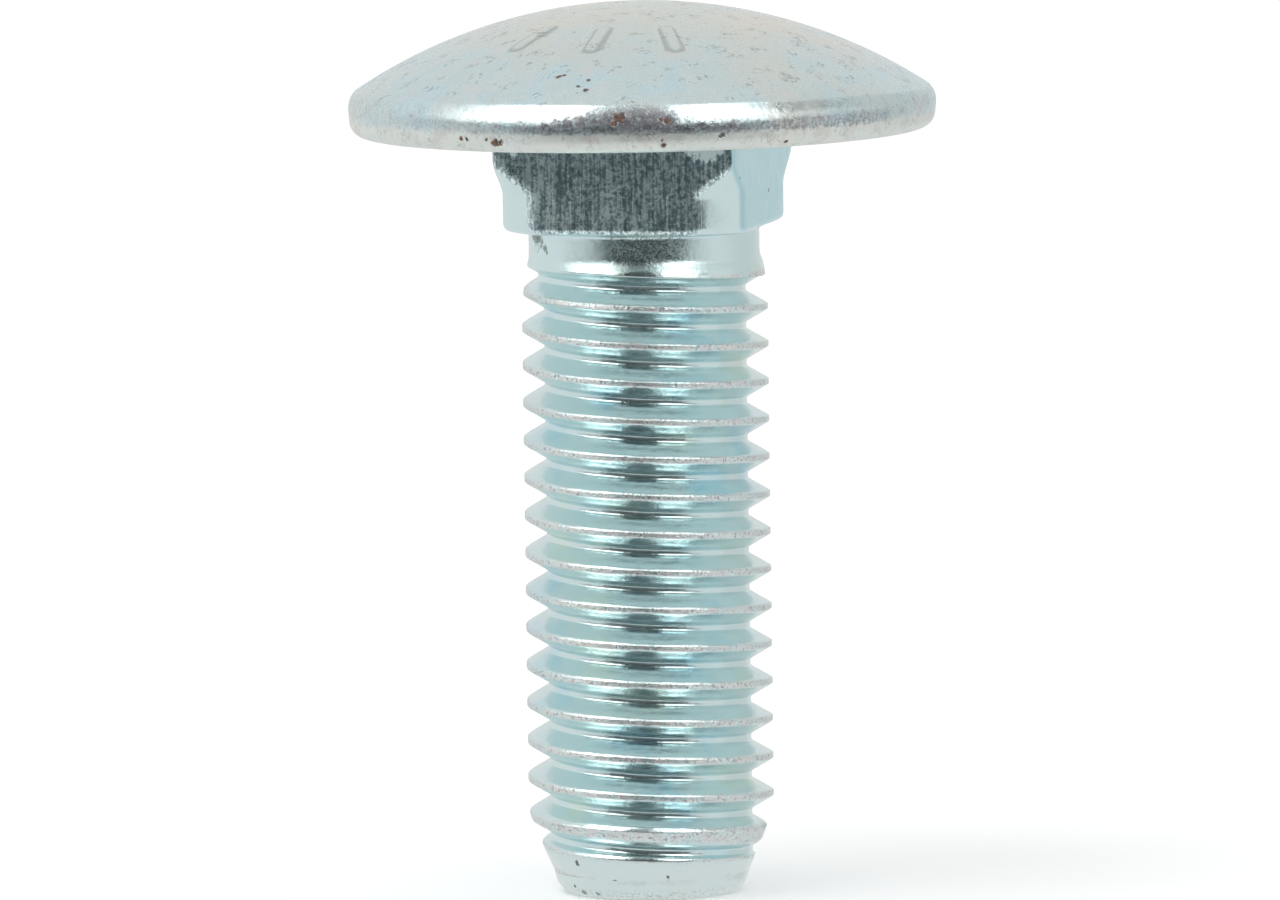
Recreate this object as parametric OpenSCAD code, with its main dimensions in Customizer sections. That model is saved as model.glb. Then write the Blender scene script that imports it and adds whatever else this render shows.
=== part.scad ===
// Round-head square-neck (carriage) bolt with a left-hand metric coarse thread.
// The bolt stands on its point: the origin is the middle of the flat end, and +Z runs up the axis to the head.

/* [Head] */
// Diameter over the rim of the head
head_d = 23.45; // [18:0.05:28]
// Height of the head from its bearing face to the top of the dome
head_h = 5.16; // [4.6:0.01:6.4]
// Radius of the spherical dome
dome_r = 20.7; // [17:0.1:26]
// Radius of the edge between the dome and the rim
rim_top_r = 0.35; // [0.2:0.05:0.7]
// Radius of the edge between the rim and the bearing face
rim_bottom_r = 0.55; // [0.3:0.05:0.9]
// Draft of the rim, which narrows towards the bearing face
rim_draft = 3; // [0:1:10]

/* [Square neck] */
// Width of the neck across its flats
neck_w = 9.9; // [9.4:0.05:10.8]
// Depth of the neck below the bearing face
neck_depth = 3.82; // [3:0.01:6.5]
// Turn of the square about the axis
neck_turn = -14.5; // [-45:0.5:45]
// Diameter to which the corners are filled, next to the head
neck_top_d = 13.9; // [12.8:0.05:14.4]
// Diameter to which the corners are filled, along the rest of the neck
neck_corner_d = 12; // [11.4:0.05:12.6]
// Depth at which the fully filled part of the corners ends
neck_step = 1.05; // [0.6:0.05:1.2]
// Depth over which the corners fall back to their smaller diameter
neck_fall = 1.1; // [0.4:0.05:1.3]
// Radius round the lower edge of the corners
corner_edge_r = 0.4; // [0.2:0.05:0.6]
// Radius along the lower edge of the flats
flat_edge_r = 0.2; // [0.1:0.05:0.4]

/* [Shank] */
// Length of the bolt from the bearing face to its flat end
bolt_l = 30.45; // [24:0.01:60]
// Diameter of the plain shank, which is the blank that the thread is rolled on
shank_d = 9.2; // [8.9:0.01:9.4]
// Length of the plain shank below the neck
shank_l = 1.2; // [0.5:0.05:4]
// Radius of the fillet between the neck and the shank
shank_fillet = 0.15; // [0.1:0.05:0.4]

/* [Thread] */
// Hand of the thread
thread_hand = "left"; // [left, right]
// Diameter over the crests
thread_d = 9.84; // [9.5:0.01:10]
// Pitch of the thread
pitch = 1.5; // [1.25:0.05:1.75]
// Depth of the thread from crest to root
thread_depth = 0.94; // [0.7:0.01:1]
// Width of the flat along the crest
crest_w = 0.17; // [0.1:0.01:0.25]
// Angle between the two flanks
flank_angle = 60; // [55:1:60]
// Turn of the thread about the axis
thread_turn = 32; // [-180:0.1:180]
// Length of the cone from the shank to the full diameter of the crests
crest_rise = 1.7; // [0.5:0.1:3]
// Height of the end of the groove above the foot of the plain shank
groove_lead = 0.25; // [0:0.05:0.5]
// Turns over which the groove fades out at the shank
fade_turns = 0.9; // [0.4:0.1:1.5]
// Straight steps in one turn of the groove
steps = 36; // [24:6:40]

/* [Point] */
// Diameter of the nose at the flat end
point_d = 7.42; // [6:0.01:7.8]
// Half-angle of the nose
nose_angle = 12; // [0:1:15]
// Length of the nose
nose_l = 0.85; // [0.8:0.05:2]
// Half-angle of the cone between the nose and the crests
point_angle = 24; // [20:1:45]
// Radius round the edge of the flat end
point_edge_r = 0.25; // [0.1:0.05:0.5]

/* [Hidden] */
zinc = [0.72, 0.8, 0.82];
// Faces round the turned surfaces
$fn = 96;
// Overlap of solids that are joined
lap = 0.05;

// Radii at the places where the outline turns
head_r = head_d / 2;
shank_r = shank_d / 2;
crest_r = thread_d / 2;
root_r = crest_r - thread_depth;

// Heights along the axis, measured from the flat end
seat_z = bolt_l;
dome_centre_z = seat_z + head_h - dome_r;
neck_z = seat_z - neck_depth;
rise_z = neck_z - shank_l;
groove_top_z = rise_z + groove_lead;
nose_r = point_d / 2 + nose_l * tan(nose_angle);
point_z = nose_l + (crest_r - nose_r) / tan(point_angle);

// Points on an arc round c with radius r, from angle a0 to a1, with n steps
function arc(c, r, a0, a1, n) = [
    for (i = [0:n]) let (a = a0 + (a1 - a0) * i / n) c + r * [cos(a), sin(a)]
];

// The rim's upper edge is an arc that touches the inside of the dome's sphere and the largest radius of the head
edge_x = head_r - rim_top_r;
edge_z = dome_centre_z + sqrt(pow(dome_r - rim_top_r, 2) - pow(edge_x, 2));
edge_a = atan2(edge_z - dome_centre_z, edge_x);
// The lower edge is an arc that touches the drafted side of the rim and the bearing face
side_x = head_r - rim_top_r * (1 - cos(rim_draft));
side_z = edge_z - rim_top_r * sin(rim_draft);
low_z = seat_z + rim_bottom_r;
low_x = side_x - (side_z - low_z) * tan(rim_draft) - rim_bottom_r / cos(rim_draft);

// Half outline of the head, from the axis along the bearing face and over the rim to the top
function head_outline() = concat(
    [[0, seat_z]],
    arc([low_x, low_z], rim_bottom_r, -90, -rim_draft, 10),
    arc([edge_x, edge_z], rim_top_r, -rim_draft, edge_a, 8),
    arc([0, dome_centre_z], dome_r, edge_a, 90, 24)
);

// Smooth step from 0 at t = 0 to 1 at t = 1
function ease(t) = t * t * (3 - 2 * t);

// Side outline of the square neck, with its lower edges rounded
function flat_outline() = let (half = neck_w / 2, r = flat_edge_r) concat(
    [[-half, seat_z + lap]],
    arc([r - half, neck_z + r], r, 180, 270, 5),
    arc([half - r, neck_z + r], r, 270, 360, 5),
    [[half, seat_z + lap]]
);

// Half outline of the round body that the corners of the square neck are filled to
function neck_outline() = let (
    top_r = neck_top_d / 2,
    low_r = neck_corner_d / 2,
    fall_z = seat_z - neck_step
) concat(
    [[0, seat_z + lap], [top_r, seat_z + lap]],
    [
        for (i = [0:12])
            [top_r + (low_r - top_r) * ease(i / 12), fall_z - neck_fall * i / 12]
    ],
    arc([low_r - corner_edge_r, neck_z + corner_edge_r], corner_edge_r, 0, -90, 8),
    [[0, neck_z]]
);

// Half outline of the rolling blank: fillet, shank, rising crests, crest cylinder and point
function blank_outline() = concat(
    [[0, 0]],
    arc([point_d / 2 - point_edge_r, point_edge_r], point_edge_r, -90, -nose_angle, 8),
    [
        [nose_r, nose_l],
        [crest_r, point_z],
        [crest_r, rise_z - crest_rise],
        [shank_r, rise_z]
    ],
    arc([shank_r + shank_fillet, neck_z - shank_fillet], shank_fillet, 180, 90, 5),
    [[shank_r, neck_z + lap], [0, neck_z + lap]]
);

// Section of the groove as [distance along the axis, distance out from the root], wider than it is deep
over = 0.04;
flank_t = tan(flank_angle / 2);
root_w = pitch - crest_w - 2 * thread_depth * flank_t;
function groove_section() = let (
    high = thread_depth + over,
    wide = root_w / 2 + high * flank_t
) [
    [-wide, high],
    [-root_w / 2 - 0.14 * flank_t, 0.14],
    [-root_w / 3, 0.02],
    [root_w / 3, 0.02],
    [root_w / 2 + 0.14 * flank_t, 0.14],
    [wide, high]
];

// The groove's sweep starts below the flat end and climbs to the shank
start_z = -pitch;
turns = (groove_top_z - start_z) / pitch;
way = thread_hand == "left" ? -1 : 1;

// Share of the fade that lies behind turn t, from 0 to 1
function faded(t) = max(0, 1 - (turns - t) / fade_turns);

// How far the section has backed out of the blank at turn t
function backed_out(t) = ease(faded(t)) * (thread_depth + over);

// Height of the groove at turn t, whose climb slackens to nothing as it fades
function groove_z(t) = start_z + pitch * (t - fade_turns * pow(faded(t), 2) / 2);

// Solid of the thread groove, as one helical sweep with closed ends
module groove() {
    section = groove_section();
    m = len(section);
    n = ceil(turns * steps);
    points = [
        for (i = [0:n]) let (t = turns * i / n, a = thread_turn + way * 360 * t)
            for (s = section) let (r = root_r + s[1] + backed_out(t))
                [r * cos(a), r * sin(a), groove_z(t) + s[0]]
    ];
    sides = [
        for (i = [0:n - 1], j = [0:m - 1]) let (k = (j + 1) % m)
            [i * m + j, (i + 1) * m + j, (i + 1) * m + k, i * m + k]
    ];
    ends = [[for (j = [0:m - 1]) j], [for (j = [m - 1:-1:0]) n * m + j]];
    faces = concat(sides, ends);
    polyhedron(points, way > 0 ? faces : [for (f = faces) [for (i = [len(f) - 1:-1:0]) f[i]]]);
}

// Domed head with its rounded rim
module head() {
    rotate_extrude() polygon(head_outline());
}

// Two opposite flats of the neck
module flats() {
    rotate([90, 0, 0])
        linear_extrude(neck_top_d, center = true)
            polygon(flat_outline());
}

// Square neck whose corners are filled to a round body
module neck() {
    intersection() {
        rotate([0, 0, neck_turn]) flats();
        rotate([0, 0, neck_turn + 90]) flats();
        rotate_extrude() polygon(neck_outline());
    }
}

// Shank with its rolled thread and point
module stem() {
    difference() {
        rotate_extrude() polygon(blank_outline());
        groove();
    }
}

// The whole bolt is one forging
module carriage_bolt() {
    color(zinc) union() {
        head();
        neck();
        stem();
    }
}

carriage_bolt();
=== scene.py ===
"""Looks of a zinc-plated carriage bolt with a left-hand thread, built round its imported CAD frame.

Lengths are millimetres, but metres in the studio and its cards. Angles are degrees.
The bolt's mesh is scaled to metres when it is made.
"""

import logging
import math
from dataclasses import dataclass, field
from enum import Enum
from typing import ClassVar

import bmesh
import bpy
import numpy as np
from mathutils import Matrix, Vector
from mathutils.bvhtree import BVHTree

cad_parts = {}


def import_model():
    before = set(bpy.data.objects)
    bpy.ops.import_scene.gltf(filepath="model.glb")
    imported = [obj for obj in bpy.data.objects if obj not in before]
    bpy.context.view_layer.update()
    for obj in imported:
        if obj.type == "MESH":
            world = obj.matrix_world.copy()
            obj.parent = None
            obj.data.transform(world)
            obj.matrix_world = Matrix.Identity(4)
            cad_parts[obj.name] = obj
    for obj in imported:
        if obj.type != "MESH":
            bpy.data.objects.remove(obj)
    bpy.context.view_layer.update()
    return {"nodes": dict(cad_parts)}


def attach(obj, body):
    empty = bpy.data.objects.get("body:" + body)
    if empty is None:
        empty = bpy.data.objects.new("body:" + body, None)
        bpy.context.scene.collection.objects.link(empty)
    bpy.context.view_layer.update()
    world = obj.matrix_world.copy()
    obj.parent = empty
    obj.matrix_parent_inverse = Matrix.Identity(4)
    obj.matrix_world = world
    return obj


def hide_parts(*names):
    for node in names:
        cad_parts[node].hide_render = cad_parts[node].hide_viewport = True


LOG = logging.getLogger("carriage_bolt")
MM = 0.001
IMAGE_WIDTH = 1280
IMAGE_HEIGHT = 900
MERGE_DECIMALS = 5

Colour = tuple[float, float, float, float]
Socket = bpy.types.NodeSocket


class Mark(Enum):
    """Share, from 0 to 1, of a kind of surface at each vertex, kept as an attribute of the mesh."""

    CREST = "crest"
    THREAD = "thread"
    DRAWN_AND_SHADED = "drawn_and_shaded"
    TINTED = "tinted"
    RIM = "rim"
    SKIRT = "skirt"
    SHANK = "shank"
    BAR = "bar"
    POINT = "point"


def smooth_min(a: np.ndarray, b: np.ndarray, k: float) -> np.ndarray:
    """Joins two surfaces by a rounded edge.

    Formula: half of the sum of a and b, less half the root of their squared difference plus k squared.

    Args:
        a: First distance.
        b: Second distance.
        k: Width of the rounding.

    Returns:
        The smaller distance, rounded off where the two are close.
    """
    return 0.5 * (a + b - np.sqrt((a - b) ** 2 + k * k))


def ease(t: np.ndarray) -> np.ndarray:
    """Smooth step: t squared times three less twice t, with t held between 0 and 1."""
    t = np.clip(t, 0.0, 1.0)
    return t * t * (3.0 - 2.0 * t)


def arc(centre: tuple[float, float], radius: float, first: float, last: float, steps: int) -> np.ndarray:
    """Points on an arc: the centre plus the radius times the cosine and sine of evenly spaced angles.

    Args:
        centre: Distance from the axis and height of the centre.
        radius: Radius of the arc.
        first: First angle in degrees.
        last: Last angle in degrees.
        steps: Number of straight steps.

    Returns:
        Array of steps + 1 rows of distance from the axis and height.
    """
    a = np.radians(np.linspace(first, last, steps + 1))
    return np.column_stack((centre[0] + radius * np.cos(a), centre[1] + radius * np.sin(a)))


def smooth_noise(x: np.ndarray, seed: int, size: int = 4096) -> np.ndarray:
    """Noise along a line: random heights at the whole numbers, joined by smooth steps.

    Args:
        x: Places along the line.
        seed: Seed of the random heights.
        size: Number of heights before they repeat.

    Returns:
        Values from -1 to 1 in the shape of x.
    """
    heights = np.random.default_rng(seed).uniform(-1.0, 1.0, size)
    whole = np.floor(x).astype(int)
    share = ease(x - whole)
    return heights[whole % size] * (1.0 - share) + heights[(whole + 1) % size] * share


@dataclass
class Sheet:
    """A grid of vertices that goes once round the axis."""

    points: np.ndarray
    marks: dict[Mark, np.ndarray] = field(default_factory=dict)
    shift: int = 0

    @property
    def shape(self) -> tuple[int, int]:
        """Rows and columns of the grid."""
        return self.points.shape[0], self.points.shape[1]


@dataclass
class Columns:
    """Columns of vertices in four equal quarters round the axis, one for each flat of the neck."""

    turn: float = -14.5
    quarter: int = 48
    corner: int = 8

    @property
    def count(self) -> int:
        """Number of columns."""
        return 4 * self.quarter

    def even(self) -> np.ndarray:
        """Angles of evenly spaced columns, from the middle of one corner of the neck."""
        return self.turn - 45.0 + 360.0 * np.arange(self.count) / self.count

    def square(self, half_flat: np.ndarray) -> tuple[np.ndarray, np.ndarray]:
        """Angles of the columns where they bunch towards the edges of the flats.

        Formula: within a quarter, the corner's columns share the angle outside the flat evenly, and the
        flat's columns stand at even distances along the flat, so their angles are arc tangents.

        Args:
            half_flat: Half of the angle that a flat spans, one value for each row.

        Returns:
            The angles from the middle of the nearest flat, and the same angles round the axis.
        """
        i = np.tile(np.arange(self.quarter), 4)[None, :]
        a = half_flat[:, None]
        flat = self.quarter - 2 * self.corner
        low = -45.0 + (45.0 - a) * i / self.corner
        high = a + (45.0 - a) * (i - self.corner - flat) / self.corner
        run = np.degrees(np.arctan(np.tan(np.radians(a)) * (2.0 * (i - self.corner) / flat - 1.0)))
        own = np.where(i < self.corner, low, np.where(i > self.corner + flat, high, run))
        quarter = np.repeat(np.arange(4), self.quarter)[None, :] * 90.0
        return own, own + quarter + self.turn

    def ring(self, profile: np.ndarray) -> np.ndarray:
        """Turns a profile about the axis.

        Formula: x and y are the distance from the axis times the cosine and sine of the column's angle.

        Args:
            profile: Rows of distance from the axis and height.

        Returns:
            Grid of points, one row for each row of the profile.
        """
        a = np.radians(self.even())[None, :]
        r, z = profile[:, :1], profile[:, 1:]
        return np.stack((r * np.cos(a), r * np.sin(a), z + 0.0 * a), axis=-1)


@dataclass(frozen=True)
class Bar:
    """A plain raised bar on the dome that runs away from the axis."""

    angle: float
    start: float = 5.7
    length: float = 1.9
    half_width: float = 0.1
    softness: float = 0.34
    height: float = 0.1

    def rise(self, x: np.ndarray, y: np.ndarray) -> np.ndarray:
        """Height of the bar over the dome.

        Formula: the bar's height times a smooth step that falls from 1 to 0 as the distance to the
        bar's middle line, seen from above, passes from the half width to the half width plus the
        softness.

        Args:
            x: Places to the right of the axis.
            y: Places behind the axis.

        Returns:
            Heights, in the shape of x.
        """
        a = math.radians(self.angle)
        along = x * math.cos(a) + y * math.sin(a) - self.start
        across = y * math.cos(a) - x * math.sin(a)
        away = np.hypot(along - np.clip(along, 0.0, self.length), across)
        return self.height * ease(1.0 - (away - self.half_width) / self.softness)


@dataclass
class Head:
    """Shallow domed head with a rounded rim and a flat bearing face, forged slightly out of true."""

    diameter: float = 23.45
    height: float = 5.16
    dome_r: float = 20.7
    bottom_r: float = 0.6
    draft: float = 6.0
    seat_z: float = 30.45
    waviness: float = 0.02
    shoulder_z: float = 31.3
    shoulder_inset: float = 0.025
    crease_r: float = 11.45
    front_flat: float = 0.15
    crease_angle: float = 40.0
    reach: tuple[float, float] = (0.4, 0.35)
    seat_lean: tuple[float, float] = (0.006, -0.0045)
    dome_lean: tuple[float, float] = (0.0, -0.014)
    lean_from: float = 0.45
    lean_over: float = 1.3
    lean_drop: float = 0.6
    dome_rows: int = 66
    bars: tuple[Bar, ...] = (Bar(-130.0), Bar(-105.0), Bar(-80.0))

    @property
    def centre_z(self) -> float:
        """Height of the middle of the dome's sphere."""
        return self.seat_z + self.height - self.dome_r

    def crease(self, angle: np.ndarray) -> np.ndarray:
        """Radius of the crease between the rim and the dome.

        Formula: the radius at the sides, less the front's share, which is the square of the part of the
        direction that faces the front, times the amount by which the rim's upper side is wider there.

        Args:
            angle: Angles round the axis in radians.

        Returns:
            Radii, in the shape of angle.
        """
        return self.crease_r - self.front_flat * np.clip(-np.sin(angle), 0.0, 1.0) ** 2

    def lean(self, points: np.ndarray) -> np.ndarray:
        """Leans the head slightly, as it was forged.

        Formula: each point rises by its x and y times two slopes, which pass from the bearing face's to
        the dome's with the height. The dome is lowered by 0.6 of its radius times its squared slope, so
        that its top rises no higher.

        Args:
            points: Points of the head.

        Returns:
            The moved points.
        """
        share = ease((points[..., 2] - self.seat_z - self.lean_from) / self.lean_over)
        seat, dome = (points[..., 0] * s[0] + points[..., 1] * s[1] for s in (self.seat_lean, self.dome_lean))
        drop = self.lean_drop * self.dome_r * (self.dome_lean[0] ** 2 + self.dome_lean[1] ** 2)
        moved = points.copy()
        moved[..., 2] += seat * (1.0 - share) + (dome - drop) * share
        return moved

    def rim(self, columns: Columns) -> Sheet:
        """The rim as one sheet: the lower arc, the drafted side and a curve up to the dome's crease.

        Formula: the curve is a cubic with four control points. It leaves the side along the side, and
        meets the dome at the crease angle, so a sharp edge stays. The side is then pulled in by the
        waviness times two slow noises.

        Args:
            columns: The columns of vertices.

        Returns:
            The rim's sheet, with marks on the whole rim and on its lower part, the skirt.
        """
        slope, bend = math.radians(self.draft), math.radians(self.crease_angle)
        angle = np.radians(columns.even())
        shoulder = np.array((self.diameter / 2 - self.shoulder_inset, self.shoulder_z))
        low_z = self.seat_z + self.bottom_r
        low_x = shoulder[0] - (self.shoulder_z - low_z) * math.tan(slope) - self.bottom_r / math.cos(slope)
        low = arc((low_x, low_z), self.bottom_r, -90.0, -self.draft, 9)
        side = low[-1] + (shoulder - low[-1]) * (np.arange(1, 4) / 4.0)[:, None]
        crease = self.crease(angle)
        edge = np.stack((crease, self.centre_z + np.sqrt(self.dome_r**2 - crease**2)), axis=-1)
        first = shoulder + self.reach[0] * np.array((math.sin(slope), math.cos(slope)))
        last = edge + self.reach[1] * np.array((math.sin(bend), -math.cos(bend)))
        t = np.linspace(0.0, 1.0, 17)[:, None, None]
        s = 1 - t
        curve = s**3 * shoulder + 3 * s**2 * t * first + 3 * s * t**2 * last + t**3 * edge
        wall = np.repeat(np.vstack((low, side))[:, None], columns.count, axis=1)
        profile = np.concatenate((wall, curve))
        share = np.sin(np.pi * np.arange(len(profile)) / (len(profile) - 1))[:, None]
        turn = np.arange(columns.count) / columns.count
        wave = smooth_noise(turn * 24.0, 5, 24) * 0.6 + smooth_noise(turn * 64.0, 6, 64) * 0.4
        r = profile[..., 0] - self.waviness * share * (0.5 - 0.5 * wave)[None, :]
        points = np.stack((r * np.cos(angle), r * np.sin(angle), profile[..., 1]), axis=-1)
        skirt = ease((self.shoulder_z + 0.1 - profile[..., 1]) / 0.35)
        marks = {Mark.RIM: np.repeat(share**0.5, columns.count, axis=1), Mark.SKIRT: skirt}
        return Sheet(self.lean(points), marks)

    def dome(self, columns: Columns, crease: np.ndarray) -> Sheet:
        """The dome as one sheet, from the rim's last ring of points to the pole, with its raised bars.

        Formula: the points stand on a sphere, at angles that run from the crease's to the pole's, with
        rows closer together near the rim. The bars rise along the axis.

        Args:
            columns: The columns of vertices.
            crease: The rim's last ring of points.

        Returns:
            The dome's sheet, which closes at the pole.
        """
        angle = np.radians(columns.even())
        first = np.arccos(self.crease(angle) / self.dome_r)
        share = (np.linspace(0.0, 1.0, self.dome_rows) ** 1.15)[:, None]
        a = first + (math.pi / 2 - first) * share
        r = self.dome_r * np.cos(a) * (share < 1.0)
        x, y = r * np.cos(angle), r * np.sin(angle)
        z = self.centre_z + self.dome_r * np.sin(a)
        rise = sum(bar.rise(x, y) for bar in self.bars)
        points = self.lean(np.stack((x, y, z + rise), axis=-1))
        points[0] = crease
        return Sheet(points, {Mark.BAR: rise / max(bar.height for bar in self.bars)})


@dataclass
class Neck:
    """Short square neck whose corners are filled to a round body."""

    width: float = 9.9
    depth: float = 3.82
    top_d: float = 13.9
    corner_d: float = 12.0
    step: float = 0.8
    fall: float = 1.6
    corner_edge_r: float = 0.4
    flat_edge_r: float = 0.27
    edge_softness: float = 0.12
    top_z: float = 30.45

    @property
    def low_z(self) -> float:
        """Height of the neck's lower face."""
        return self.top_z - self.depth

    def heights(self) -> np.ndarray:
        """Heights of the rows, closer together round the lower edges and where the corners fall back.

        Returns:
            Heights in rising order.
        """
        near = self.low_z + self.corner_edge_r * (1 - np.cos(np.linspace(0.0, np.pi / 2, 9)))
        fall_z = self.top_z - self.step - self.fall
        run = np.linspace(near[-1], fall_z, 6)[1:]
        step = np.linspace(fall_z, fall_z + self.fall, 17)[1:]
        top = np.linspace(fall_z + self.fall, self.top_z, 5)[1:]
        return np.concatenate((near, run, step, top))

    def outline(self, z: np.ndarray, columns: Columns) -> np.ndarray:
        """Outline of the neck at some heights.

        Formula: the distance from the axis is the smaller of the flat's distance over the cosine of the
        angle from the flat's middle and the round body's radius, with a rounded edge between the two.
        Near the lower face, both distances follow a quarter circle.

        Args:
            z: Heights of the rows.
            columns: The columns of vertices.

        Returns:
            Grid of points.
        """
        up = z - self.low_z
        flat_r, corner_r = self.flat_edge_r, self.corner_edge_r
        half = self.width / 2 - flat_r + np.sqrt(flat_r**2 - np.clip(flat_r - up, 0.0, flat_r) ** 2)
        low = self.corner_d / 2 - corner_r + np.sqrt(corner_r**2 - np.clip(corner_r - up, 0.0, corner_r) ** 2)
        fall_z = self.top_z - self.step
        body = low + (self.top_d / 2 - low) * ease(1.0 - (fall_z - z) / self.fall)
        own, around = columns.square(np.degrees(np.arccos(half / body)))
        r = smooth_min(half[:, None] / np.cos(np.radians(own)), body[:, None], self.edge_softness)
        a = np.radians(around)
        return np.stack((r * np.cos(a), r * np.sin(a), z[:, None] + 0.0 * a), axis=-1)

    def side(self, columns: Columns) -> Sheet:
        """The neck's sides as one sheet: one mark on the front and back flats, scuffed by drawing and
        painted dark as a painted dark reflection and shade, and one on the others.

        Args:
            columns: The columns of vertices.

        Returns:
            The neck's sheet.
        """
        points = self.outline(self.heights(), columns)
        around = np.degrees(np.arctan2(points[..., 1], points[..., 0])) - columns.turn
        own = np.radians((around + 45.0) % 90.0 - 45.0)
        out = np.hypot(points[..., 0], points[..., 1]) * np.cos(own)
        flat = ease(1.0 - (self.width / 2 - 0.04 - out) / 0.12)
        # The front and back flats: scuffed by drawing, and painted dark by the finish, which stands for the
        # dark reflection and shade that the front flat shows.
        drawn_and_shaded = np.floor((around + 45.0) / 90.0) % 2 == 1
        return Sheet(points, {Mark.DRAWN_AND_SHADED: flat * drawn_and_shaded, Mark.TINTED: flat * (1.0 - drawn_and_shaded)})


def bridge(first: np.ndarray, last: np.ndarray, rows: int) -> Sheet:
    """Flat sheet between two rings, whose points run straight from one ring to the other.

    Args:
        first: Inner or outer ring of points.
        last: The other ring.
        rows: Number of rows, with both rings.

    Returns:
        The sheet.
    """
    share = np.linspace(0.0, 1.0, rows)[:, None, None]
    points = first[None] * (1.0 - share) + last[None] * share
    points[0], points[-1] = first, last
    return Sheet(points)


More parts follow.
